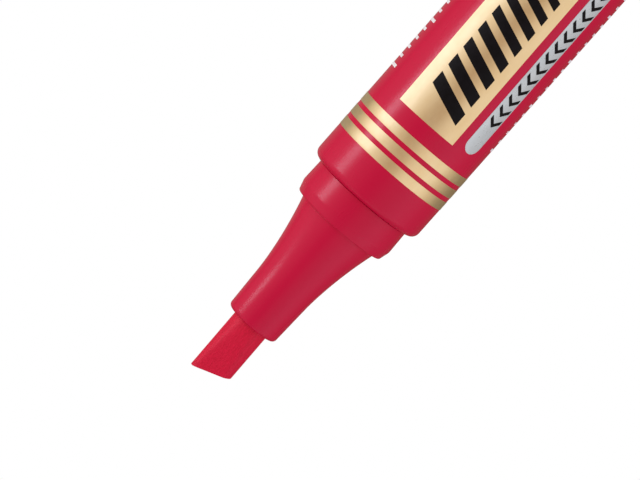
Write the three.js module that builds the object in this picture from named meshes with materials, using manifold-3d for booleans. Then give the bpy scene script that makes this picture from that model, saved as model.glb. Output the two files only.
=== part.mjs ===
// A chisel-tip felt marker with its cap pushed onto the tail.
// Millimetres, +Z up. The marker stands on the cap's flat closed end, nib up.
// The origin is the centre of that end.
// The label side and the nib's broad face look along -Y.
import * as THREE from "three";
import { mergeVertices } from "three/addons/utils/BufferGeometryUtils.js";
import Module from "manifold-3d";

const wasm = await Module();
wasm.setup();

// ---------------------------------------------------------------- driving dimensions

const ROUND_SEGMENTS = 40; // facets round every turned part, so that nested walls stay parallel
const FIT_GAP = 0.05; // radial clearance between a pushed-in part and its bore
const SEAT_GAP = 0.3; // axial clearance where two parts meet face to face

const BARREL_RADIUS = 8.5;
const BARREL_BORE_RADIUS = 6.95;
const BARREL_LENGTH = 90;

const CAP_LENGTH = 41;
const CAP_MOUTH_RADIUS = 7.32; // inner radius, which slides over the collar or the tail plug

const PLUG_SPIGOT_RADIUS = 7.2;
const PLUG_SPIGOT_LENGTH = 9;

const COLLAR_RADIUS = 7.26;
const COLLAR_LENGTH = 4.8;
const CONE_BASE_RADIUS = 6;
const CONE_FRONT_RADIUS = 3.77;
const CONE_LENGTH = 17.25;
const FLARE_LENGTH = 11.2; // from the collar to the plain sleeve round the nib
const SLEEVE_RADIUS = 4.04; // where the flare ends
const NOSE_INSERT_LENGTH = 10;

const NIB_RADIUS = 2.6;
const NIB_EXPOSED = 9.15; // from the cone's front edge to the nib's longest corner
const NIB_LENGTH = 48;
const NIB_EDGE_THICKNESS = 3.0;
const NIB_FACET_LENGTH = 9;
const NIB_SLANT_DEG = 20.5; // the writing edge against square across

const RESERVOIR_RADIUS = 6.15;
const FILM_THICKNESS = 0.09;

const FOIL_THICKNESS = 0.06;
const FOIL_GAP = 0.02;
const BAND_WIDTH = 1.35;
const BAND_PITCH = 1.99;
const BAND_START = 5.18; // from the barrel's front shoulder
const PANEL_START = 12.9;
const PANEL_LENGTH = 52;
const PANEL_ARC_DEG = 62.6;
const PILL_START = 13.3;
const PILL_LENGTH = 34;
const PILL_ARC_DEG = 18.3;
const PILL_CENTRE_DEG = 49.4; // round the barrel from the panel's centre line

// ---------------------------------------------------------------- heights worked out from them

const CAP_MOUTH_Z = CAP_LENGTH;
const BARREL_TAIL_Z = CAP_MOUTH_Z + SEAT_GAP;
const SHOULDER_Z = BARREL_TAIL_Z + BARREL_LENGTH;
const CONE_BASE_Z = SHOULDER_Z + COLLAR_LENGTH;
const CONE_FRONT_Z = CONE_BASE_Z + CONE_LENGTH;
const NIB_TIP_Z = CONE_FRONT_Z + NIB_EXPOSED;
const NIB_REAR_Z = NIB_TIP_Z - NIB_LENGTH;
const NOSE_REAR_Z = SHOULDER_Z - NOSE_INSERT_LENGTH;
const PLUG_TAIL_Z = BARREL_TAIL_Z - PLUG_SPIGOT_LENGTH;
const PLUG_INSERT_LENGTH = 8;
const PLUG_FRONT_Z = BARREL_TAIL_Z + PLUG_INSERT_LENGTH;

// ---------------------------------------------------------------- materials

const plastic = (color, roughness) => new THREE.MeshStandardMaterial({ color, roughness, metalness: 0 });
const foil = (color) => new THREE.MeshStandardMaterial({ color, roughness: 0.3, metalness: 1 });

const RED = "#b91c3b";
const redGloss = () => plastic(RED, 0.3);
const naturalPlastic = () => plastic("#e6e3da", 0.5);
const clearFilm = () => plastic("#d98a96", 0.2);
const inkedFelt = () => plastic("#bd1d3a", 0.95);
const inkedFibre = () => plastic("#9c1430", 0.95);
const goldFoil = () => foil("#d8c184");
const silverFoil = () => foil("#c9cbd0");

// ---------------------------------------------------------------- helpers

/** A solid of revolution about Z from [radius, z] points, anticlockwise with radius to the right. */
function turned(profile, segments = ROUND_SEGMENTS) {
  const points = profile.map(([radius, z]) => new THREE.Vector2(radius, z));
  return new THREE.LatheGeometry(points, segments).rotateX(Math.PI / 2);
}

/** A turned wall whose profile closes on itself, such as a sleeve. */
function turnedRing(profile) {
  return turned([...profile, profile[0]]);
}

/** Points on a circular arc in a plane, with angles in degrees from the first axis. */
function arc(centreX, centreY, size, fromDeg, toDeg, steps) {
  return Array.from({ length: steps + 1 }, (_, i) => {
    const angle = THREE.MathUtils.degToRad(fromDeg + ((toDeg - fromDeg) * i) / steps);
    return [centreX + size * Math.cos(angle), centreY + size * Math.sin(angle)];
  });
}

/** A box with its centre at a point. */
function block(size, centre) {
  return new THREE.BoxGeometry(...size).translate(...centre);
}

/** A three.js geometry as a manifold solid, for a boolean. */
function solid(geometry) {
  const bare = geometry.clone();
  bare.deleteAttribute("normal");
  bare.deleteAttribute("uv");
  const merged = mergeVertices(bare, 1e-4);
  return new wasm.Manifold(
    new wasm.Mesh({
      numProp: 3,
      vertProperties: new Float32Array(merged.attributes.position.array),
      triVerts: new Uint32Array(merged.index.array),
    }),
  );
}

/** A manifold solid back as a three.js geometry. */
function geometryOf(made) {
  const mesh = made.getMesh();
  const geometry = new THREE.BufferGeometry();
  geometry.setAttribute("position", new THREE.BufferAttribute(new Float32Array(mesh.vertProperties), 3));
  geometry.setIndex(new THREE.BufferAttribute(new Uint32Array(mesh.triVerts), 1));
  geometry.computeVertexNormals();
  return geometry;
}

/** A named mesh, placed along Z. */
function part(name, geometry, material, z = 0) {
  const mesh = new THREE.Mesh(geometry, material);
  mesh.name = name;
  mesh.position.z = z;
  return mesh;
}

// ---------------------------------------------------------------- pen: barrel

/** Tube with a rounded front shoulder, and six ribs inside that hold the reservoir off the wall for air. */
function barrel() {
  const shoulderRounding = 1.1;
  const tailChamfer = 0.25;
  const tube = turnedRing([
    [BARREL_BORE_RADIUS, 0],
    [BARREL_RADIUS - tailChamfer, 0],
    [BARREL_RADIUS, tailChamfer],
    ...arc(BARREL_RADIUS - shoulderRounding, BARREL_LENGTH - shoulderRounding, shoulderRounding, 0, 90, 5),
    [BARREL_BORE_RADIUS, BARREL_LENGTH],
  ]);
  let made = solid(tube);
  const ribCount = 6;
  const ribWidth = 0.8;
  const ribDepth = 0.5;
  const ribRoot = 0.4; // how far a rib runs into the wall
  const ribBottom = PLUG_INSERT_LENGTH + 2;
  const ribTop = BARREL_LENGTH - NOSE_INSERT_LENGTH - 2;
  for (let i = 0; i < ribCount; i++) {
    const rib = block(
      [ribDepth + ribRoot, ribWidth, ribTop - ribBottom],
      [BARREL_BORE_RADIUS + (ribRoot - ribDepth) / 2, 0, (ribTop + ribBottom) / 2],
    );
    made = made.add(solid(rib.rotateZ((2 * Math.PI * i) / ribCount)));
  }
  return part("barrel", geometryOf(made), redGloss(), BARREL_TAIL_Z);
}

// ---------------------------------------------------------------- pen: nose cone

/** Nib holder: insert, stepped collar that the cap grips, and the flared cone. */
function noseCone() {
  const insertRadius = BARREL_BORE_RADIUS - FIT_GAP;
  const insertFront = SHOULDER_Z - NOSE_REAR_Z;
  const collarFront = CONE_BASE_Z - NOSE_REAR_Z;
  const coneFront = CONE_FRONT_Z - NOSE_REAR_Z;
  const flangeTop = insertFront + SEAT_GAP;
  const collarLeadIn = 1.4; // length of the collar's gentle front taper
  const frontRounding = 0.5;
  const flareFront = collarFront + FLARE_LENGTH;
  const flare = new THREE.CubicBezierCurve(
    new THREE.Vector2(CONE_BASE_RADIUS, collarFront),
    new THREE.Vector2(5.06, collarFront + 3.2),
    new THREE.Vector2(4.21, flareFront - 3.5),
    new THREE.Vector2(SLEEVE_RADIUS, flareFront),
  );
  const nibBore = NIB_RADIUS + FIT_GAP;
  const nibBoreRear = coneFront - 12;
  const cavityRadius = 5.3;
  const cavityTop = insertFront + 1;
  return part(
    "nose_cone",
    turnedRing([
      [cavityRadius, 0],
      [insertRadius - 0.4, 0],
      [insertRadius, 0.6],
      [insertRadius, insertFront],
      [insertRadius, flangeTop],
      [COLLAR_RADIUS - 0.1, flangeTop],
      [COLLAR_RADIUS, collarFront - collarLeadIn],
      [COLLAR_RADIUS - 0.35, collarFront - 0.25],
      [COLLAR_RADIUS - 0.6, collarFront],
      ...flare.getPoints(8).map((p) => [p.x, p.y]),
      [CONE_FRONT_RADIUS + 0.02, coneFront - 1],
      ...arc(CONE_FRONT_RADIUS - frontRounding, coneFront - frontRounding, frontRounding, 0, 90, 4),
      [nibBore, coneFront],
      [nibBore, nibBoreRear],
      [cavityRadius, cavityTop],
    ]),
    redGloss(),
    NOSE_REAR_Z,
  );
}

// ---------------------------------------------------------------- pen: nib

/** Round felt rod with two long facets that narrow to a slanted writing edge, and a pointed rear end. */
function chiselNib() {
  const rearPoint = 2.2;
  const nibSegments = 32;
  const rod = turned(
    [
      [0, 0],
      [0.9, 0],
      [NIB_RADIUS, rearPoint],
      [NIB_RADIUS, NIB_LENGTH],
      [0, NIB_LENGTH],
    ],
    nibSegments,
  );
  const cutter = 20; // side of the blocks that cut the facets and the slant
  const facetAngle = Math.atan2(NIB_RADIUS - NIB_EDGE_THICKNESS / 2, NIB_FACET_LENGTH);
  let made = solid(rod);
  for (const side of [-1, 1]) {
    const facet = block([cutter, cutter, cutter], [0, (side * cutter) / 2, 0])
      .rotateX(side * facetAngle)
      .translate(0, side * NIB_RADIUS, NIB_LENGTH - NIB_FACET_LENGTH);
    made = made.subtract(solid(facet));
  }
  const slant = block([cutter, cutter, cutter], [0, 0, cutter / 2])
    .rotateY(THREE.MathUtils.degToRad(-NIB_SLANT_DEG))
    .translate(NIB_RADIUS, 0, NIB_LENGTH);
  made = made.subtract(solid(slant));
  return part("chisel_nib", geometryOf(made), inkedFelt(), NIB_REAR_Z);
}

// ---------------------------------------------------------------- pen: ink reservoir and its film

const RESERVOIR_BOTTOM_Z = PLUG_FRONT_Z + SEAT_GAP;
const RESERVOIR_TOP_Z = NOSE_REAR_Z - SEAT_GAP;
const RESERVOIR_LENGTH = RESERVOIR_TOP_Z - RESERVOIR_BOTTOM_Z;

/** Fibre bundle that holds the ink, with the socket that the nib's rear end is pushed into. */
function inkReservoir() {
  const socketRadius = NIB_RADIUS + FIT_GAP;
  const socketFloor = NIB_REAR_Z - RESERVOIR_BOTTOM_Z - SEAT_GAP;
  const edge = 0.5;
  return part(
    "ink_reservoir",
    turned([
      [0, 0],
      [RESERVOIR_RADIUS - edge, 0],
      [RESERVOIR_RADIUS, edge],
      [RESERVOIR_RADIUS, RESERVOIR_LENGTH - edge],
      [RESERVOIR_RADIUS - edge, RESERVOIR_LENGTH],
      [socketRadius, RESERVOIR_LENGTH],
      [socketRadius, socketFloor],
      [0, socketFloor],
    ]),
    inkedFibre(),
    RESERVOIR_BOTTOM_Z,
  );
}

/** Thin plastic sleeve round the fibre bundle. */
function reservoirFilm() {
  const inner = RESERVOIR_RADIUS + FOIL_GAP;
  const outer = inner + FILM_THICKNESS;
  const inset = 0.8;
  return part(
    "reservoir_film",
    turnedRing([
      [inner, inset],
      [outer, inset],
      [outer, RESERVOIR_LENGTH - inset],
      [inner, RESERVOIR_LENGTH - inset],
    ]),
    clearFilm(),
    RESERVOIR_BOTTOM_Z,
  );
}

// ---------------------------------------------------------------- pen: rear plug

/** Closes the tail. Its insert fills the bore, and its spigot carries the cap while the marker is in use. */
function rearPlug() {
  const insertRadius = BARREL_BORE_RADIUS - FIT_GAP;
  const spigotTop = PLUG_SPIGOT_LENGTH - FOIL_GAP;
  const total = PLUG_SPIGOT_LENGTH + PLUG_INSERT_LENGTH;
  const hollowRadius = 5.6;
  const floor = 1.8;
  const dishRadius = 4.6;
  const dishDepth = 0.5;
  return part(
    "rear_plug",
    turned([
      [0, dishDepth],
      [dishRadius, dishDepth],
      [dishRadius + 0.3, 0],
      [PLUG_SPIGOT_RADIUS - 0.8, 0],
      [PLUG_SPIGOT_RADIUS - 0.1, 0.8],
      [PLUG_SPIGOT_RADIUS, spigotTop - 2],
      [PLUG_SPIGOT_RADIUS, spigotTop],
      [insertRadius, spigotTop],
      [insertRadius, total - 0.6],
      [insertRadius - 0.4, total],
      [hollowRadius, total],
      [hollowRadius, floor + 0.6],
      [hollowRadius - 0.6, floor],
      [0, floor],
    ]),
    redGloss(),
    PLUG_TAIL_Z,
  );
}

// ---------------------------------------------------------------- pen: hot-stamped foil

/** Thin skin on the barrel between two heights and over an arc, whose middle is turned from -Y about Z. */
function foilSkin(bottom, top, arcDeg, centreDeg) {
  const inner = BARREL_RADIUS + FOIL_GAP;
  const outer = inner + FOIL_THICKNESS;
  const steps = 12;
  const first = centreDeg - 90 - arcDeg / 2;
  const last = centreDeg - 90 + arcDeg / 2;
  const outline = [...arc(0, 0, outer, first, last, steps), ...arc(0, 0, inner, last, first, steps)];
  const shape = new THREE.Shape(outline.map(([x, y]) => new THREE.Vector2(x, y)));
  const skin = new THREE.ExtrudeGeometry(shape, { depth: top - bottom, bevelEnabled: false });
  return skin.translate(0, 0, bottom);
}

/** One of the three gold rings behind the front shoulder, counted from the front. */
function foilBand(index) {
  const inner = BARREL_RADIUS + FOIL_GAP;
  const outer = inner + FOIL_THICKNESS;
  const top = SHOULDER_Z - BAND_START - index * BAND_PITCH;
  return part(
    `foil_band_${index + 1}`,
    turnedRing([
      [inner, -BAND_WIDTH],
      [outer, -BAND_WIDTH],
      [outer, 0],
      [inner, 0],
    ]),
    goldFoil(),
    top,
  );
}

/** Gold panel along the label side. */
function foilPanel() {
  return part(
    "foil_panel",
    foilSkin(-PANEL_LENGTH, 0, PANEL_ARC_DEG, 0),
    goldFoil(),
    SHOULDER_Z - PANEL_START,
  );
}

/** Silver strip with round ends, beside the panel. */
function foilPill() {
  const halfWidth = BARREL_RADIUS * THREE.MathUtils.degToRad(PILL_ARC_DEG / 2);
  const outline = new THREE.Shape();
  outline.absarc(0, -halfWidth, halfWidth, 0, Math.PI, false);
  outline.absarc(0, halfWidth - PILL_LENGTH, halfWidth, Math.PI, 2 * Math.PI, false);
  outline.closePath();
  const reach = 3;
  const prism = new THREE.ExtrudeGeometry(outline, { depth: reach, bevelEnabled: false, curveSegments: 8 })
    .rotateX(Math.PI / 2)
    .translate(0, -BARREL_RADIUS + reach / 2, 0)
    .rotateZ(THREE.MathUtils.degToRad(-PILL_CENTRE_DEG));
  const skin = foilSkin(-PILL_LENGTH - 1, 1, PILL_ARC_DEG + 6, -PILL_CENTRE_DEG);
  return part(
    "foil_pill",
    geometryOf(solid(skin).intersect(solid(prism))),
    silverFoil(),
    SHOULDER_Z - PILL_START,
  );
}

// ---------------------------------------------------------------- cap

const CLIP_PIVOT_Y = -10.6;
const CLIP_ROOT_TOP_Z = 6;
const CLIP_WIDTH = 5;
const CLIP_THICKNESS = 1.2;
const CLIP_TIP_Z = 36.5;
const SEAL_RIM_Z = CAP_LENGTH - 11.5;
const SEAL_FLANGE = 1;
const SEAL_LEDGE_Z = SEAL_RIM_Z - SEAL_FLANGE - SEAT_GAP;
const SEAL_FLOOR_Z = 8.5;
const SEAL_WALL = 0.8;

/** Cap shell: flat closed end, lipped mouth, an inner ledge for the seal, and the clip's root. */
function capShell() {
  const endRounding = 1.1;
  const endRadius = 8.3;
  const lipRadius = 8.75;
  const lipBottom = CAP_LENGTH - 3.6;
  const lowerBore = 6.5;
  const endWall = 1.6;
  const shell = turned([
    [0, 0],
    ...arc(endRadius - endRounding, endRounding, endRounding, -90, 0, 4),
    [BARREL_RADIUS, lipBottom - 0.5],
    [lipRadius, lipBottom],
    [lipRadius, CAP_LENGTH - 0.4],
    [lipRadius - 0.4, CAP_LENGTH],
    [CAP_MOUTH_RADIUS + 0.3, CAP_LENGTH],
    [CAP_MOUTH_RADIUS, CAP_LENGTH - 0.5],
    [CAP_MOUTH_RADIUS, SEAL_LEDGE_Z],
    [lowerBore, SEAL_LEDGE_Z],
    [lowerBore, endWall],
    [0, endWall],
  ]);
  const rootBottom = 2;
  const rootInner = -7.6;
  const rootOuter = CLIP_PIVOT_Y - CLIP_THICKNESS / 2;
  const root = block(
    [CLIP_WIDTH, rootInner - rootOuter, CLIP_ROOT_TOP_Z - rootBottom],
    [0, (rootInner + rootOuter) / 2, (CLIP_ROOT_TOP_Z + rootBottom) / 2],
  );
  return part("cap_shell", geometryOf(solid(shell).add(solid(root))), redGloss());
}

/** Cup inside the cap that seals round the nose cone. Its flange rests on the shell's ledge. */
function capInnerSeal() {
  const flangeRadius = CAP_MOUTH_RADIUS - FIT_GAP;
  const bottom = SEAL_FLOOR_Z - SEAL_WALL;
  const flangeBottom = SEAL_RIM_Z - SEAL_FLANGE;
  const outerRadius = 5.3;
  const outerFoot = 4.9;
  const rimRadius = 4.62;
  const throatRadius = 4.25; // grips the sleeve round the nib
  const footRadius = 4.12;
  return part(
    "cap_inner_seal",
    turned([
      [0, 0],
      [outerFoot - 0.6, 0],
      [outerFoot, 0.6],
      [outerRadius, flangeBottom - bottom - 1],
      [outerRadius + 0.4, flangeBottom - bottom],
      [flangeRadius, flangeBottom - bottom],
      [flangeRadius, SEAL_RIM_Z - bottom],
      [rimRadius + 0.33, SEAL_RIM_Z - bottom],
      [rimRadius, SEAL_RIM_Z - bottom - 0.4],
      [throatRadius, SEAL_RIM_Z - bottom - 4],
      [footRadius, SEAL_WALL],
      [0, SEAL_WALL],
    ]),
    naturalPlastic(),
    bottom,
  );
}

/** Springy pocket clip that stands on the cap's root block, with a pad near its free end. */
function capClip() {
  const bottom = CLIP_ROOT_TOP_Z + SEAT_GAP;
  const inner = CLIP_PIVOT_Y + CLIP_THICKNESS / 2;
  const outer = CLIP_PIVOT_Y - CLIP_THICKNESS / 2;
  const padFace = -8.9;
  const side = new THREE.Shape();
  side.moveTo(outer, bottom);
  side.lineTo(inner, bottom);
  side.lineTo(inner, CLIP_TIP_Z - 6);
  side.quadraticCurveTo(padFace, CLIP_TIP_Z - 5, padFace, CLIP_TIP_Z - 3.6);
  side.quadraticCurveTo(padFace - 0.1, CLIP_TIP_Z - 2.4, inner - 0.1, CLIP_TIP_Z);
  side.lineTo(outer + 0.3, CLIP_TIP_Z);
  side.lineTo(outer, CLIP_TIP_Z - 0.6);
  side.closePath();
  const extrusion = { depth: CLIP_WIDTH, bevelEnabled: false, curveSegments: 5 };
  const strip = new THREE.ExtrudeGeometry(side, extrusion);
  // The side view is drawn with y across and z up, so turn the extrusion to lie along X.
  const toSideView = new THREE.Matrix4().makeBasis(
    new THREE.Vector3(0, 1, 0),
    new THREE.Vector3(0, 0, 1),
    new THREE.Vector3(1, 0, 0),
  );
  return part("cap_clip", strip.applyMatrix4(toSideView).translate(-CLIP_WIDTH / 2, 0, 0), redGloss());
}

// ---------------------------------------------------------------- assembly

const pen = new THREE.Group();
pen.add(barrel(), noseCone(), chiselNib(), inkReservoir(), reservoirFilm(), rearPlug());
pen.add(foilBand(0), foilBand(1), foilBand(2), foilPanel(), foilPill());

const cap = new THREE.Group();
cap.add(capShell(), capInnerSeal(), capClip());

const marker = new THREE.Group();
marker.add(pen, cap);

export default marker;
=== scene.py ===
import math

import bmesh
import bpy
from mathutils import Matrix, Vector


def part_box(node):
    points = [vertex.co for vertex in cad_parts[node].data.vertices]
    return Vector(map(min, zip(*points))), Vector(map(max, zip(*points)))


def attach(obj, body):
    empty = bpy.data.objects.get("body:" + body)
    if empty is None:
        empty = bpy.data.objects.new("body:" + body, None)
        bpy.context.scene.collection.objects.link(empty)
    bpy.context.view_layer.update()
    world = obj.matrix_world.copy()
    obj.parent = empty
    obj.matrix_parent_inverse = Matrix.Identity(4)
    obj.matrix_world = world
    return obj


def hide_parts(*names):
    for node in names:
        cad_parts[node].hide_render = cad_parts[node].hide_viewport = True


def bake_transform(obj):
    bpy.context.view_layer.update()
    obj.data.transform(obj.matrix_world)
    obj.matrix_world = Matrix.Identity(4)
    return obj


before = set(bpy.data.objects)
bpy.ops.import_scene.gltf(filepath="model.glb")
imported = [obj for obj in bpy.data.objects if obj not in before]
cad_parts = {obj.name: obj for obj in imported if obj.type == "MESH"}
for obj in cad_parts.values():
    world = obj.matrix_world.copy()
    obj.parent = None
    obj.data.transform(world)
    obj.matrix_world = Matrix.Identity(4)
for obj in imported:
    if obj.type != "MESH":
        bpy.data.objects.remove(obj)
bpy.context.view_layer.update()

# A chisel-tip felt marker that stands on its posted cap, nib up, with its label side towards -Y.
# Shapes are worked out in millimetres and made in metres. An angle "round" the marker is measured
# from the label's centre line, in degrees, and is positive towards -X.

MM = 0.001
SEGMENTS = 192  # facets round a turned piece that has no flutes


def box_mm(node):
    """(lowest corner, highest corner) of a CAD node in millimetres."""
    low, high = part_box(node)
    return Vector(low) / MM, Vector(high) / MM


# ---------------------------------------------------------------- dimensions, in millimetres

BARREL_TAIL_Z = box_mm("barrel")[0].z
SHOULDER_Z = box_mm("barrel")[1].z
BARREL_R = box_mm("barrel")[1].x
BORE_R = 6.95

NOSE_REAR_Z = box_mm("nose_cone")[0].z
CONE_FRONT_Z = box_mm("nose_cone")[1].z
COLLAR_R = box_mm("nose_cone")[1].x
COLLAR_LENGTH = 4.8
CONE_BASE_Z = SHOULDER_Z + COLLAR_LENGTH
CONE_BASE_R = 6.0
CONE_FRONT_R = 3.77
FLARE_FRONT_Z = CONE_BASE_Z + 11.2
SLEEVE_R = 4.04  # where the flare ends and the plain sleeve round the nib begins
SEAM = 0.04  # visible gap between the shoulder and the collar

NIB_R = box_mm("chisel_nib")[1].x
NIB_REAR_Z = box_mm("chisel_nib")[0].z
NIB_TIP_Z = box_mm("chisel_nib")[1].z
NIB_EDGE_THICKNESS = 3.0
NIB_FACET_LENGTH = 9.0
NIB_SLANT = math.tan(math.radians(20.5))
LEAN_FROM_Z = CONE_FRONT_Z - 3  # below this the nib is straight
NIB_LEAN = math.tan(math.radians(0.8))  # a pushed-in nib is never quite straight

CAP_MOUTH_Z = box_mm("cap_shell")[1].z
CAP_LIP_R = box_mm("cap_shell")[1].x
CAP_END_R = 8.3
CAP_MOUTH_R = 7.32
CAP_END_WALL = 1.6
SEAL_LOW, SEAL_HIGH = box_mm("cap_inner_seal")
SEAL_LEDGE_Z = SEAL_HIGH.z - 1.3

PLUG_LOW, PLUG_HIGH = box_mm("rear_plug")

PRINT_THICKNESS = 0.03
PANEL_ROUND = 62.6
PILL_ROUND = 18.3
PILL_CENTRE = 49.4
LABEL_TOP_Z = box_mm("foil_panel")[1].z
LABEL_SKEW = math.tan(math.radians(0.68))  # the print is slightly askew, measured from the label's top


# ---------------------------------------------------------------- mesh helpers

def finished(name, bm, material, smooth_below=30):
    """A smooth-shaded object from a bmesh in millimetres, with creases kept sharp."""
    bmesh.ops.recalc_face_normals(bm, faces=bm.faces)
    bmesh.ops.scale(bm, vec=(MM, MM, MM), verts=bm.verts)
    mesh = bpy.data.meshes.new(name)
    bm.to_mesh(mesh)
    bm.free()
    mesh.shade_smooth()
    mesh.set_sharp_from_angle(angle=math.radians(smooth_below))
    mesh.materials.append(material)
    made = bpy.data.objects.new(name, mesh)
    bpy.context.scene.collection.objects.link(made)
    return made


def bridged(bm, lower, upper):
    """Faces between two rings of vertices. Either ring may be a single vertex."""
    count = max(len(lower), len(upper))
    for k in range(count):
        after = (k + 1) % count
        corners = [lower[k % len(lower)], lower[after % len(lower)]]
        corners += [upper[after % len(upper)], upper[k % len(upper)]]
        bm.faces.new(list(dict.fromkeys(corners)))


def rounded(corners, steps=6):
    """Profile through (radius, z, fillet) corners, with an arc at each corner that has a fillet."""
    points = []
    for i, (radius, z, fillet) in enumerate(corners):
        here = Vector((radius, z))
        if not fillet:
            points.append(here)
            continue
        back = (Vector(corners[i - 1][:2]) - here).normalized()
        ahead = (Vector(corners[(i + 1) % len(corners)][:2]) - here).normalized()
        half = back.angle(ahead) / 2
        centre = here + (back + ahead).normalized() * fillet / math.sin(half)
        start = (here + back * fillet / math.tan(half) - centre).normalized()
        end = (here + ahead * fillet / math.tan(half) - centre).normalized()
        points += [centre + start.slerp(end, step / steps) * fillet for step in range(steps + 1)]
    return points


def turned(name, profile, material, dent=None, segments=SEGMENTS):
    """Turns a profile about Z. It closes on itself, unless it starts and ends on the axis.

    dent(radius, z, angle) gives how much the surface is pushed towards the axis at a point.
    """
    bm = bmesh.new()
    rings = []
    for radius, z in profile:
        if radius < 1e-6:
            rings.append([bm.verts.new((0, 0, z))])
            continue
        ring = []
        for k in range(segments):
            angle = 2 * math.pi * k / segments
            reach = radius - (dent(radius, z, angle) if dent else 0)
            ring.append(bm.verts.new((reach * math.cos(angle), reach * math.sin(angle), z)))
        rings.append(ring)
    solid = len(rings[0]) == 1
    for lower, upper in zip(rings, rings[1:] if solid else rings[1:] + rings[:1]):
        bridged(bm, lower, upper)
    return finished(name, bm, material)


def arc_length(degrees):
    """Distance round the barrel, in millimetres."""
    return BARREL_R * math.radians(degrees)


def wrapped(name, outlines, material, lift=0.0):
    """Thin plates on the barrel. Each outline is a list of (distance round, z) points."""
    bm = bmesh.new()
    for outline in outlines:
        bm.faces.new([bm.verts.new((across, z, 0)) for across, z in outline])
    reach = max(abs(v.co.x) for v in bm.verts)
    step = 0.3  # width of the facets that follow the barrel's curve
    for k in range(-int(reach / step), int(reach / step) + 1):
        geometry = bm.verts[:] + bm.edges[:] + bm.faces[:]
        bmesh.ops.bisect_plane(bm, geom=geometry, plane_co=(k * step, 0, 0), plane_no=(1, 0, 0))
    raised = bmesh.ops.extrude_face_region(bm, geom=bm.faces[:], use_keep_orig=True)
    for item in raised["geom"]:
        if isinstance(item, bmesh.types.BMVert):
            item.co.z += PRINT_THICKNESS
    for vert in bm.verts:
        across, z, height = vert.co
        across -= (LABEL_TOP_Z - z) * LABEL_SKEW
        angle = across / BARREL_R
        radius = BARREL_R + lift + height
        vert.co = (-radius * math.sin(angle), -radius * math.cos(angle), z)
    return finished(name, bm, material)


def lofted(name, sections, material):
    """Skin over horizontal rounded rectangles, each (z, nearest y, farthest y, half width, corner)."""
    bm = bmesh.new()
    rings = []
    corner_steps = 5
    for z, near, far, half_width, corner in sections:
        quarters = ((1, near, -1, 0), (1, far, 1, 270), (-1, far, 1, 180), (-1, near, -1, 90))
        ring = []
        for x_side, y_edge, y_side, first in quarters:
            centre = Vector((x_side * (half_width - corner), y_edge + y_side * corner))
            for k in range(corner_steps + 1):
                angle = math.radians(first + 90 - 90 * k / corner_steps)
                x = centre.x + corner * math.cos(angle)
                y = centre.y + corner * math.sin(angle)
                ring.append(bm.verts.new((x, y, z)))
        rings.append(ring)
    for lower, upper in zip(rings, rings[1:]):
        bridged(bm, lower, upper)
    bm.faces.new(rings[0])
    bm.faces.new(rings[-1])
    return finished(name, bm, material, smooth_below=40)


# ---------------------------------------------------------------- material helpers

class Shading:
    """A material whose Principled shader is fed by noise in the object's own metres."""

    def __init__(self, name, **values):
        self.material = bpy.data.materials.new(name)
        self.material.use_nodes = True
        self.tree = self.material.node_tree
        self.shader = self.tree.nodes["Principled BSDF"]
        self.place = self.tree.nodes.new("ShaderNodeTexCoord")
        for label, value in values.items():
            socket = label.replace("_", " ").title().replace("Ior", "IOR")
            self.shader.inputs[socket].default_value = value

    def noise(self, size_mm, stretch=(1, 1, 1), detail=3.0, roughness=0.55):
        """Noise whose features are about size_mm across, and longer along an axis by its stretch."""
        mapping = self.tree.nodes.new("ShaderNodeMapping")
        mapping.inputs["Scale"].default_value = [1 / (size_mm * MM * s) for s in stretch]
        texture = self.tree.nodes.new("ShaderNodeTexNoise")
        texture.inputs["Scale"].default_value = 1
        texture.inputs["Detail"].default_value = detail
        texture.inputs["Roughness"].default_value = roughness
        self.tree.links.new(self.place.outputs["Object"], mapping.inputs["Vector"])
        self.tree.links.new(mapping.outputs["Vector"], texture.inputs["Vector"])
        return texture.outputs["Fac"]

    def ranged(self, source, low, high, near=0.3, far=0.7):
        """A number that runs from low to high as the noise runs from near to far."""
        made = self.tree.nodes.new("ShaderNodeMapRange")
        made.inputs["From Min"].default_value = near
        made.inputs["From Max"].default_value = far
        made.inputs["To Min"].default_value = low
        made.inputs["To Max"].default_value = high
        self.tree.links.new(source, made.inputs["Value"])
        return made.outputs["Result"]

    def math(self, operation, a, b):
        """One Math node."""
        made = self.tree.nodes.new("ShaderNodeMath")
        made.operation = operation
        for socket, value in zip(made.inputs, (a, b)):
            if isinstance(value, (int, float)):
                socket.default_value = value
            else:
                self.tree.links.new(value, socket)
        return made.outputs["Value"]

    def colours(self, source, first, second, near=0.3, far=0.7):
        """The base colour runs from first to second as the noise runs from near to far."""
        mix = self.tree.nodes.new("ShaderNodeMix")
        mix.data_type = "RGBA"
        mix.inputs[6].default_value = (*first, 1)
        mix.inputs[7].default_value = (*second, 1)
        self.tree.links.new(self.ranged(source, 0, 1, near, far), mix.inputs[0])
        self.tree.links.new(mix.outputs[2], self.shader.inputs["Base Color"])

    def roughness(self, source, low, high):
        """Roughness between two values."""
        self.tree.links.new(self.ranged(source, low, high), self.shader.inputs["Roughness"])

    def bump(self, source, height_mm):
        """Surface relief of that height."""
        made = self.tree.nodes.new("ShaderNodeBump")
        made.inputs["Distance"].default_value = height_mm * MM
        self.tree.links.new(source, made.inputs["Height"])
        self.tree.links.new(made.outputs["Normal"], self.shader.inputs["Normal"])


# ---------------------------------------------------------------- materials

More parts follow.
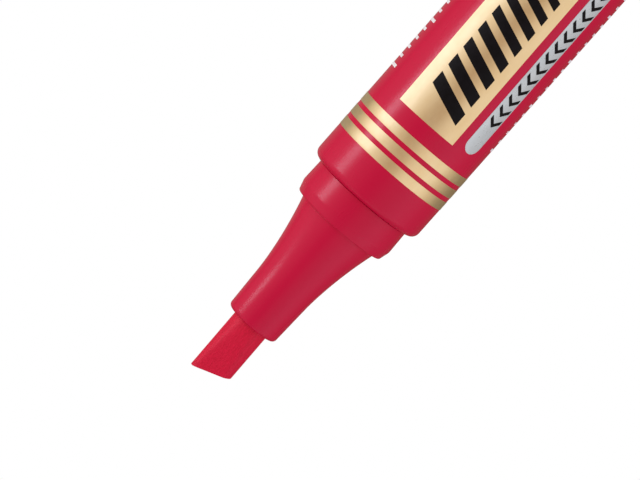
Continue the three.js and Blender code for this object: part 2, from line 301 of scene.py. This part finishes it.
def red_plastic(name):
    """Glossy crimson plastic with a faint moulded flow, fine texture and uneven gloss."""
    made = Shading(name, specular_ior_level=0.2)
    made.colours(made.noise(18, stretch=(1, 1, 3)), (0.508, 0.004, 0.040), (0.532, 0.005, 0.044))
    made.roughness(made.noise(4, stretch=(1, 1, 5)), 0.22, 0.29)
    flow = made.math("MULTIPLY", made.noise(2.5, stretch=(1, 1, 12), detail=1), 0.8)
    grain = made.math("MULTIPLY", made.noise(0.25, detail=1), 0.2)
    made.bump(made.math("ADD", flow, grain), 0.004)
    return made.material


def gold_foil(name):
    """Hot-stamped gold foil: metallic, softly mottled, and slightly crinkled."""
    made = Shading(name, metallic=0.85)
    made.colours(made.noise(1.6, stretch=(1, 1, 3)), (0.94, 0.71, 0.39), (0.99, 0.78, 0.46))
    made.roughness(made.noise(0.5), 0.28, 0.36)
    made.bump(made.noise(0.35, stretch=(1, 1, 2)), 0.004)
    return made.material


def silver_foil(name):
    """Hot-stamped silver foil."""
    made = Shading(name, metallic=0.4)
    made.colours(made.noise(1.6, stretch=(1, 1, 3)), (0.56, 0.62, 0.63), (0.63, 0.69, 0.70))
    made.roughness(made.noise(0.5), 0.25, 0.35)
    made.bump(made.noise(0.35, stretch=(1, 1, 2)), 0.004)
    return made.material


def printed_ink(name, first, second):
    """Screen-printed ink, slightly uneven in thickness."""
    made = Shading(name, specular_ior_level=0.15)
    made.colours(made.noise(0.6), first, second)
    made.roughness(made.noise(0.3), 0.33, 0.47)
    made.bump(made.noise(0.15), 0.003)
    return made.material


def inked_felt(name):
    """Hard polyester felt full of red ink, with fibres that run along the nib."""
    made = Shading(name, specular_ior_level=0.2)
    fibres = made.noise(0.09, stretch=(1, 1, 14), detail=4, roughness=0.65)
    made.colours(fibres, (0.51, 0.003, 0.029), (0.65, 0.006, 0.043), near=0.35, far=0.65)
    made.roughness(made.noise(0.2, stretch=(1, 1, 6)), 0.42, 0.62)
    made.bump(fibres, 0.035)
    return made.material


def natural_plastic(name):
    """Uncoloured polyethylene: milky, soft and a little translucent."""
    made = Shading(name, subsurface_weight=0.15, subsurface_scale=0.001)
    made.colours(made.noise(6), (0.74, 0.72, 0.65), (0.80, 0.78, 0.72))
    made.roughness(made.noise(1.2), 0.38, 0.52)
    made.bump(made.noise(0.2), 0.004)
    return made.material


def inked_fibre(name):
    """Loose polyester fibres soaked with red ink."""
    made = Shading(name)
    fibres = made.noise(0.12, stretch=(1, 1, 30), detail=4)
    made.colours(fibres, (0.26, 0.004, 0.018), (0.42, 0.012, 0.04), near=0.35, far=0.65)
    made.roughness(made.noise(0.4, stretch=(1, 1, 8)), 0.65, 0.9)
    made.bump(fibres, 0.05)
    return made.material


def clear_film(name):
    """Thin film stained by the ink behind it."""
    made = Shading(name)
    made.colours(made.noise(3, stretch=(1, 1, 6)), (0.62, 0.20, 0.26), (0.70, 0.26, 0.31))
    made.roughness(made.noise(1.5), 0.15, 0.3)
    made.bump(made.noise(1.0, stretch=(1, 1, 8)), 0.01)
    return made.material


def pale_floor(name):
    """Matt white table."""
    made = Shading(name)
    made.colours(made.noise(30), (0.80, 0.80, 0.80), (0.82, 0.82, 0.82))
    made.roughness(made.noise(5), 0.7, 0.9)
    made.bump(made.noise(0.5), 0.01)
    return made.material


BARREL_RED = red_plastic("red_plastic_barrel")
MOULDED_RED = red_plastic("red_plastic_moulded")
GOLD = gold_foil("gold_foil")
SILVER = silver_foil("silver_foil")
BLACK_INK = printed_ink("black_ink", (0.002, 0.0015, 0.0025), (0.004, 0.003, 0.005))
WHITE_INK = printed_ink("white_ink", (0.76, 0.70, 0.71), (0.84, 0.80, 0.81))
FELT = inked_felt("inked_felt")


# ---------------------------------------------------------------- pen

def barrel():
    """Tube with a rounded front shoulder and six ribs inside."""
    rib_count = 6
    rib_half_angle = math.radians(3.3)
    rib_depth = 0.5
    rib_bottom = BARREL_TAIL_Z + 10
    rib_top = NOSE_REAR_Z - 2
    end = 0.01  # height of the step at each end of a rib

    def rib(radius, z, angle):
        between = 2 * math.pi / rib_count
        off_rib = abs((angle + between / 2) % between - between / 2)
        inside = radius < BORE_R + 0.1 and rib_bottom <= z <= rib_top
        return rib_depth if inside and off_rib < rib_half_angle else 0

    profile = rounded([
        (BORE_R, BARREL_TAIL_Z, 0.15),
        (BARREL_R, BARREL_TAIL_Z, 0.25),
        (BARREL_R, SHOULDER_Z, 1.1),
        (BORE_R, SHOULDER_Z, 0.1),
        (BORE_R, rib_top + end, 0),
        (BORE_R, rib_top, 0),
        (BORE_R, rib_bottom, 0),
        (BORE_R, rib_bottom - end, 0),
    ])
    made = turned("barrel_tube", profile, BARREL_RED, dent=rib)
    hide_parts("barrel")
    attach(made, "pen")


def nose_cone():
    """Insert, stepped collar with a lead-in taper, and the flared cone."""
    insert_r = BORE_R - 0.05
    nib_bore_r = NIB_R + 0.05
    nib_bore_depth = 12
    cavity_r = 5.3
    collar_foot_z = SHOULDER_Z + SEAM
    taper_length = 1.45
    handles = [
        Vector((CONE_BASE_R, CONE_BASE_Z)),
        Vector((5.06, CONE_BASE_Z + 3.2)),
        Vector((4.21, FLARE_FRONT_Z - 3.5)),
        Vector((SLEEVE_R, FLARE_FRONT_Z)),
    ]
    flare = []
    flare_steps = 24
    for k in range(1, flare_steps + 1):
        t = k / flare_steps
        weights = ((1 - t) ** 3, 3 * t * (1 - t) ** 2, 3 * t * t * (1 - t), t ** 3)
        flare.append((*sum((w * h for w, h in zip(weights, handles)), Vector((0, 0))), 0))
    profile = rounded([
        (cavity_r, NOSE_REAR_Z, 0),
        (insert_r, NOSE_REAR_Z, 0.4),
        (insert_r, collar_foot_z, 0.05),
        (COLLAR_R - 0.09, collar_foot_z, 0.12),
        (COLLAR_R, CONE_BASE_Z - taper_length, 1.4),
        (COLLAR_R - 0.42, CONE_BASE_Z, 0.22),
        (CONE_BASE_R, CONE_BASE_Z, 0.12),
        *flare,
        (CONE_FRONT_R + 0.04, CONE_FRONT_Z, 0.55),
        (nib_bore_r, CONE_FRONT_Z, 0.12),
        (nib_bore_r, CONE_FRONT_Z - nib_bore_depth, 0),
        (cavity_r, SHOULDER_Z + 1, 0),
    ])
    made = turned("nose_cone_moulding", profile, MOULDED_RED)
    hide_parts("nose_cone")
    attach(made, "pen")


def nib():
    """Round felt rod with two flat facets and a slanted writing edge, all with worn edges."""
    facet_slope = (NIB_R - NIB_EDGE_THICKNESS / 2) / NIB_FACET_LENGTH
    softness = 0.45  # how far the crease between a facet and the round side is worn away
    rim = 0.08  # rounding of the writing edge

    def edge_height(x):
        """How high the nib reaches at a place across its width."""
        return NIB_TIP_Z - (NIB_R - x) * NIB_SLANT

    def radius(angle, z):
        """Distance from the axis to the surface: the smaller of the rod's and the facet's, blended."""
        half_thickness = NIB_R - max(0, z - (NIB_TIP_Z - NIB_FACET_LENGTH)) * facet_slope
        flat = half_thickness / max(abs(math.sin(angle)), 1e-3)
        gap = max(softness - abs(flat - NIB_R), 0) / softness
        return min(flat, NIB_R) - gap * gap * softness / 4

    bm = bmesh.new()
    segments = 144
    facet_share = 0.76  # where the closely spaced rings start, just below the facets
    facet_rings = 60
    heights = [0, 0.15, 0.3, 0.5, 0.7]
    heights += [facet_share + (1 - facet_share) * k / facet_rings for k in range(facet_rings + 1)]
    rings = []
    for share in heights:
        ring = []
        for k in range(segments):
            angle = 2 * math.pi * k / segments
            outward = Vector((math.cos(angle), math.sin(angle), 0))
            z = NIB_REAR_Z
            for _ in range(4):  # the height depends on x, and x on the height
                x = outward.x * radius(angle, z)
                z = NIB_REAR_Z + share * (edge_height(x) - rim - NIB_REAR_Z)
            point = outward * radius(angle, z)
            point.x -= max(0, z - LEAN_FROM_Z) * NIB_LEAN
            point.z = z
            ring.append(bm.verts.new(point))
        rings.append(ring)
    lean = Vector(((NIB_TIP_Z - LEAN_FROM_Z) * NIB_LEAN, 0, 0))
    outline = [Vector((vert.co.x, vert.co.y, 0)) + lean for vert in rings[-1]]

    def end_ring(inset, share, drop):
        """Ring over the slanted end: the outline drawn in by a distance or a share, and lowered."""
        ring = []
        for point in outline:
            moved = point * (1 - share - inset / point.length)
            moved.z = edge_height(moved.x) - drop
            ring.append(bm.verts.new(moved - lean))
        return ring

    rim_steps = 5
    for k in range(1, rim_steps + 1):
        turn = math.pi / 2 * k / rim_steps
        rings.append(end_ring(rim * (1 - math.cos(turn)), 0, rim * (1 - math.sin(turn))))
    for inward in (0.3, 0.55, 0.8):
        rings.append(end_ring(0, inward / NIB_R, 0))
    rings.append([bm.verts.new(Vector((0, 0, edge_height(0))) - lean)])
    for lower, upper in zip(rings, rings[1:]):
        bridged(bm, lower, upper)
    bm.faces.new(rings[0])
    made = finished("nib_felt", bm, FELT, smooth_below=25)
    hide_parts("chisel_nib")
    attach(made, "pen")


def rear_plug():
    """Plug that closes the tail, with a spigot for the cap."""
    insert_r = BORE_R - 0.05
    spigot_top = BARREL_TAIL_Z - 0.02
    spigot_r = PLUG_HIGH.x
    dish_r = 4.6
    dish_z = PLUG_LOW.z + 0.5
    hollow_r = 5.6
    floor_z = PLUG_LOW.z + 1.8
    profile = rounded([
        (0, dish_z, 0),
        (dish_r, dish_z, 0.2),
        (dish_r + 0.3, PLUG_LOW.z, 0.1),
        (spigot_r - 0.5, PLUG_LOW.z, 0.3),
        (spigot_r - 0.1, PLUG_LOW.z + 1.2, 0.5),
        (spigot_r, spigot_top - 2, 0),
        (spigot_r, spigot_top, 0.08),
        (insert_r, spigot_top, 0),
        (insert_r, PLUG_HIGH.z, 0.3),
        (hollow_r, PLUG_HIGH.z, 0),
        (hollow_r, floor_z, 0.5),
        (0, floor_z, 0),
    ])
    made = turned("rear_plug_moulding", profile, MOULDED_RED)
    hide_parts("rear_plug")
    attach(made, "pen")


# ---------------------------------------------------------------- foil and print on the barrel

def gold_bands():
    """Three foil rings behind the shoulder."""
    inner = BARREL_R - 0.02  # sunk a little, so that no gap shows below the foil
    outer = BARREL_R + PRINT_THICKNESS
    edge = 0.02  # rounding of the foil's edges
    rings = []
    for index in (1, 2, 3):
        node = f"foil_band_{index}"
        low, high = box_mm(node)
        profile = rounded([
            (inner, low.z, 0),
            (outer, low.z, edge),
            (outer, high.z, edge),
            (inner, high.z, 0),
        ], steps=2)
        made = turned(f"gold_band_{index}", profile, GOLD)
        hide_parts(node)
        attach(made, "pen")
        rings.append(made)
    return rings


def gold_panel():
    """Foil panel along the label side."""
    low, high = box_mm("foil_panel")
    half = arc_length(PANEL_ROUND / 2)
    outline = [(-half, low.z), (half, low.z), (half, high.z), (-half, high.z)]
    made = wrapped("gold_panel", [outline], GOLD)
    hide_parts("foil_panel")
    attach(made, "pen")
    return made


def stadium(centre, half_width, bottom, top, steps=16):
    """Outline of a strip with round ends."""
    points = []
    for z, first in ((top - half_width, 0), (bottom + half_width, 180)):
        for k in range(steps + 1):
            angle = math.radians(first + 180 * k / steps)
            points.append((centre + half_width * math.cos(angle), z + half_width * math.sin(angle)))
    return points


def silver_pill():
    """Foil strip with round ends beside the panel."""
    low, high = box_mm("foil_pill")
    half = arc_length(PILL_ROUND / 2)
    outline = stadium(arc_length(PILL_CENTRE), half, low.z, high.z)
    made = wrapped("silver_strip", [outline], SILVER)
    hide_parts("foil_pill")
    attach(made, "pen")


def printed(name, outlines, ink, on_foil):
    """Ink that rides on the barrel, on bare plastic or on foil."""
    made = wrapped(name, outlines, ink, lift=PRINT_THICKNESS if on_foil else 0)
    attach(made, "pen")


def stroke_scale():
    """Slanted black bars on the gold panel that get thinner towards the tail."""
    left, right = arc_length(-17.9), arc_length(21.4)
    slant = 2.2
    low, high = box_mm("foil_panel")
    top = high.z - 2.15
    bottom = low.z + 3
    outlines = []
    width = 1.9
    gap = 1.1
    taper = 0.94
    while top - width - slant > bottom:
        outlines.append([
            (left, top - slant - width),
            (right, top - width),
            (right, top),
            (left, top - slant),
        ])
        top -= width + gap
        width *= taper
    printed("black_stroke_scale", outlines, BLACK_INK, on_foil=True)


def chevrons():
    """Small black chevrons along the silver strip that point to the nib."""
    centre = arc_length(PILL_CENTRE + 0.5)
    half = arc_length(7)
    line = 0.6
    rise = 0.9
    pitch = 1.75
    top = SHOULDER_Z - 17.7
    outlines = []
    for k in range(14):
        z = top - k * pitch
        outlines.append([
            (centre - half, z - rise), (centre, z), (centre + half, z - rise),
            (centre + half, z - rise - line), (centre, z - line), (centre - half, z - rise - line),
        ])
    printed("black_chevrons", outlines, BLACK_INK, on_foil=True)


def side_ticks(name, centre_degrees, long_mm):
    """White tick marks down the barrel's side, every fifth one longer."""
    pitch = 1.5
    line = 0.45
    count = 30
    top = SHOULDER_Z - 15.2
    centre = arc_length(centre_degrees)
    outlines = []
    for k in range(count):
        half = long_mm * (0.5 if k % 5 == 0 else 0.3)
        left, right = centre - half, centre + half
        z = top - k * pitch
        outlines.append([(left, z - line), (right, z - line), (right, z), (left, z)])
    printed(name, outlines, WHITE_INK, on_foil=False)


# ---------------------------------------------------------------- cap

def cap_shell():
    """Cap with a flat closed end, shallow grip flutes, a lip at the mouth and a ledge for the seal."""
    lower_bore_r = 6.5
    flute_count = 36
    flute_facets = 12
    flute_depth = 0.22
    flute_bottom, flute_top = 2.4, 15.0
    run_out = 0.8  # length over which a flute fades at each end
    clip_side = math.radians(-90)
    clear_of_clip = math.radians(26)

    def flute(radius, z, angle):
        if radius < CAP_MOUTH_R + 0.1 or not flute_bottom < z < flute_top:
            return 0
        from_clip = abs((angle - clip_side + math.pi) % (2 * math.pi) - math.pi)
        if from_clip < clear_of_clip:
            return 0
        ends = min(1, (z - flute_bottom) / run_out, (flute_top - z) / run_out)
        wave = max(0, math.cos(flute_count * angle)) ** 0.7
        return flute_depth * wave * ends

    wall = []
    wall_bottom, wall_top = 1.5, 36.0
    wall_steps = 60
    full_width_z = 37
    for k in range(wall_steps + 1):
        z = wall_bottom + (wall_top - wall_bottom) * k / wall_steps
        wall.append((CAP_END_R + (BARREL_R - CAP_END_R) * z / full_width_z, z, 0))
    profile = rounded([
        (0, 0, 0),
        (CAP_END_R, 0, 1.1),
        *wall,
        (BARREL_R, CAP_MOUTH_Z - 4.1, 0.5),
        (CAP_LIP_R, CAP_MOUTH_Z - 3.6, 0.3),
        (CAP_LIP_R, CAP_MOUTH_Z, 0.35),
        (CAP_MOUTH_R, CAP_MOUTH_Z, 0.3),
        (CAP_MOUTH_R, SEAL_LEDGE_Z, 0),
        (lower_bore_r, SEAL_LEDGE_Z, 0),
        (lower_bore_r, CAP_END_WALL, 0.3),
        (0, CAP_END_WALL, 0),
    ])
    made = turned("cap_moulding", profile, MOULDED_RED, dent=flute, segments=flute_count * flute_facets)
    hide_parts("cap_shell")
    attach(made, "cap")


def cap_seal():
    """Inner cup that closes round the cone."""
    bottom = SEAL_LOW.z
    floor_z = bottom + 0.8
    rim = SEAL_HIGH.z
    flange_r = SEAL_HIGH.x
    flange_bottom = rim - 1
    outer_foot_r = 4.9
    outer_r = 5.3
    mouth_r = 4.8
    throat_r = 4.25  # goes round the sleeve when the cap is on the nib's end
    inner_foot_r = 4.12
    profile = rounded([
        (0, bottom, 0),
        (outer_foot_r, bottom, 0.6),
        (outer_r, flange_bottom - 1, 0.3),
        (outer_r + 0.4, flange_bottom, 0.1),
        (flange_r, flange_bottom, 0.08),
        (flange_r, rim, 0.1),
        (mouth_r, rim, 0.25),
        (throat_r, rim - 4, 0.5),
        (inner_foot_r, floor_z, 0.3),
        (0, floor_z, 0),
    ])
    made = turned("cap_seal_cup", profile, natural_plastic("natural_plastic"))
    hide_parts("cap_inner_seal")
    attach(made, "cap")


def cap_clip():
    """Pocket clip in one sweep from its root on the cap, with a pad that all but touches the cap."""
    low, high = box_mm("cap_clip")
    strip_thickness = 1.2
    outer = low.y
    inner = outer + strip_thickness
    half_width = high.x
    root_bottom = 2.0
    root_top = 5.2
    root_depth = -8.0  # y of the end inside the cap's wall
    hollow = 1.1  # height of the curve from the root into the strip
    heel_height, heel_depth = 3.2, 1.6  # the rounded outer corner at the root
    pad_z, pad_half_height = 33.0, 1.5
    pad_face = -8.9  # y, just clear of the cap
    tip_length = 0.9
    tip_side, tip_front, tip_back = 0.9, 0.45, 0.35  # how far the tip is rounded off each way
    taper = 0.35  # by which half the width narrows towards the tip
    corner = 0.35
    sections = []
    # heights of the sections, closest together round the root, the pad and the tip
    heights = [root_bottom + 3.5 * k / 14 for k in range(15)]
    heights += [5.8, 6.0, 6.3, 6.7, 7.3, 8.0]
    heights += [9 + 21 * k / 20 for k in range(21)]
    heights += [30.5 + 6 * k / 40 for k in range(41)]
    for z in heights:
        heel = min(1, (z - root_bottom) / heel_height)
        far = outer + heel_depth * (1 - math.sqrt(1 - (1 - heel) ** 2))
        if z < root_top:
            near = root_depth
        else:
            near = root_depth + (inner - root_depth) * min(1, (z - root_top) / hollow) ** 0.5
        pad = math.exp(-(((z - pad_z) / pad_half_height) ** 2))
        near += (pad_face - inner) * pad
        tip = max(0, (z - (high.z - tip_length)) / tip_length)
        round_off = 1 - math.sqrt(max(0, 1 - tip * tip))
        narrowed = taper * (z - root_bottom) / (high.z - root_bottom)
        width = half_width - narrowed - tip_side * round_off
        far += tip_front * round_off
        near -= tip_back * round_off
        sections.append((z, near, far, width, min(corner, (near - far) / 2 - 0.02)))
    made = lofted("cap_clip_strip", sections, MOULDED_RED)
    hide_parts("cap_clip")
    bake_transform(made)


# ---------------------------------------------------------------- floor, light and camera

def direction(azimuth, elevation):
    """Unit vector away from the marker. The azimuth is from -Y towards +X. Both are in degrees."""
    a, e = math.radians(azimuth), math.radians(elevation)
    return Vector((math.sin(a) * math.cos(e), -math.cos(a) * math.cos(e), math.sin(e)))


def floor():
    """Pale round table top under the marker."""
    bm = bmesh.new()
    bmesh.ops.create_circle(bm, cap_ends=True, segments=96, radius=400)
    made = finished("floor", bm, pale_floor("pale_floor"))
    made.location.z = -0.0002
    made.visible_diffuse = False  # so that the lit table doesn't wash out the marker from below
    made.visible_glossy = False
    return made


def softbox(name, facing, distance, size, power, colour=(1, 1, 1), glossy=True):
    """Area light aimed at the axis, just behind the gold bands.

    facing is its (azimuth, elevation) in degrees, as direction() takes them.
    """
    light = bpy.data.lights.new(name, "AREA")
    light.shape = "RECTANGLE"
    light.size, light.size_y = size
    light.energy = power
    light.color = colour
    made = bpy.data.objects.new(name, light)
    bpy.context.scene.collection.objects.link(made)
    outward = direction(*facing)
    made.location = Vector((0, 0, 0.12)) + outward * distance
    made.rotation_mode = "QUATERNION"
    made.rotation_quaternion = outward.to_track_quat("Z", "Y")
    made.visible_camera = False
    made.visible_glossy = glossy
    return made


def limit_light(light, pieces, state):
    """Makes a light shine on these pieces alone ("INCLUDE"), or on all but them ("EXCLUDE")."""
    chosen = bpy.data.collections.new(light.name + "_receivers")
    for piece in pieces:
        chosen.objects.link(piece)
    for member in chosen.collection_objects:
        member.light_linking.link_state = state
    light.light_linking.receiver_collection = chosen


def studio_lights(gold, table):
    """A narrow and a wide key light on one side, fill on the other, and light from behind.

    The gold would burn out in the narrow key light, so a softer one stands in for it there. The
    overhead light reaches the table only.
    """
    softbox("key_wide", (78, 5), 0.5, (0.6, 0.9), 0.3)
    key_core = softbox("key_core", (63, -10), 0.48, (0.15, 0.55), 1.85, colour=(1, 1, 1.15))
    limit_light(key_core, gold, "EXCLUDE")
    key_foil = softbox("key_foil", (60, -10), 0.48, (0.32, 0.55), 0.34, colour=(0.6, 0.8, 1.3))
    limit_light(key_foil, gold, "INCLUDE")
    softbox("fill", (-75, 5), 0.6, (0.5, 0.9), 1.8, colour=(1, 1, 1.4), glossy=False)
    softbox("back", (180, 20), 0.8, (0.8, 0.8), 5.0, glossy=False)
    softbox("rim", (150, 0), 0.8, (0.8, 0.8), 0.35)
    overhead = softbox("overhead", (0, 90), 0.9, (1.2, 1.2), 11)
    limit_light(overhead, [table], "INCLUDE")


def studio_world():
    """White to the camera. Its light is strongest from the front left and the front right.

    It is warm and dimmer from straight in front, and dimmest from behind.
    """
    glow = (  # from straight in front of the label, 0, to straight behind, 1
        (0.00, (0.40, 0.29, 0.22)),
        (0.01, (0.46, 0.38, 0.32)),
        (0.03, (0.64, 0.56, 0.50)),
        (0.07, (0.82, 0.76, 0.73)),
        (0.38, (0.88, 0.86, 0.84)),
        (0.50, (0.68, 0.62, 0.54)),
        (0.65, (0.38, 0.33, 0.26)),
        (0.80, (0.18, 0.15, 0.10)),
        (1.00, (0.14, 0.11, 0.07)),
    )
    world = bpy.data.worlds.new("studio")
    bpy.context.scene.world = world
    world.use_nodes = True
    tree = world.node_tree
    background = tree.nodes["Background"]
    output = tree.nodes["World Output"]
    background.inputs["Color"].default_value = (1, 1, 1, 1)
    background.inputs["Strength"].default_value = 1.0
    lighting = tree.nodes.new("ShaderNodeBackground")
    view = tree.nodes.new("ShaderNodeTexCoord")
    level = tree.nodes.new("ShaderNodeVectorMath")
    level.operation = "MULTIPLY"
    level.inputs[1].default_value = (1, 1, 0)
    compass = tree.nodes.new("ShaderNodeVectorMath")
    compass.operation = "NORMALIZE"
    parts = tree.nodes.new("ShaderNodeSeparateXYZ")
    ramp = tree.nodes.new("ShaderNodeValToRGB")
    stops = ramp.color_ramp.elements  # a new ramp has one at 0 and one at 1
    for place, _ in glow[1:-1]:
        stops.new(place)
    for stop, (_, colour) in zip(stops, glow):
        stop.color = (*colour, 1)
    share = tree.nodes.new("ShaderNodeMapRange")
    share.inputs["From Min"].default_value = -1
    path = tree.nodes.new("ShaderNodeLightPath")
    mix = tree.nodes.new("ShaderNodeMixShader")
    tree.links.new(view.outputs["Generated"], level.inputs[0])
    tree.links.new(level.outputs["Vector"], compass.inputs[0])
    tree.links.new(compass.outputs["Vector"], parts.inputs["Vector"])
    tree.links.new(parts.outputs["Y"], share.inputs["Value"])
    tree.links.new(share.outputs["Result"], ramp.inputs["Fac"])
    tree.links.new(ramp.outputs["Color"], lighting.inputs["Color"])
    tree.links.new(path.outputs["Is Camera Ray"], mix.inputs["Fac"])
    tree.links.new(lighting.outputs["Background"], mix.inputs[1])
    tree.links.new(background.outputs["Background"], mix.inputs[2])
    tree.links.new(mix.outputs["Shader"], output.inputs["Surface"])


def camera():
    """Long lens that looks slightly up at the nose.

    It is rolled so that the marker lies from the picture's lower left to its upper right.
    """
    back = direction(-2.2, -6.4)
    roll = math.radians(138.58)  # of the marker's axis, anticlockwise from the picture's up
    distance = 0.425
    target = Vector((0.00048, 0, 0.1393))
    data = bpy.data.cameras.new("camera")
    data.sensor_width = 36
    data.lens = 185.6
    data.clip_start = 0.01
    made = bpy.data.objects.new("camera", data)
    bpy.context.scene.collection.objects.link(made)
    level = back.to_track_quat("Z", "Y").to_matrix().to_4x4()
    place = Matrix.Translation(target + back * distance)
    made.matrix_world = place @ level @ Matrix.Rotation(-roll, 4, "Z")
    bpy.context.scene.camera = made


# ---------------------------------------------------------------- the scene

camera()
barrel()
nose_cone()
nib()
rear_plug()
gold_pieces = [*gold_bands(), gold_panel()]
silver_pill()
stroke_scale()
chevrons()
side_ticks("white_ticks_left", -76, 3.4)
side_ticks("white_ticks_right", 84, 1.6)
cap_shell()
cap_seal()
cap_clip()
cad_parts["ink_reservoir"].material_slots[0].material = inked_fibre("inked_fibre")
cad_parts["reservoir_film"].material_slots[0].material = clear_film("clear_film")

table = floor()
studio_world()
studio_lights(gold_pieces, table)
bpy.context.scene.view_settings.view_transform = "Standard"
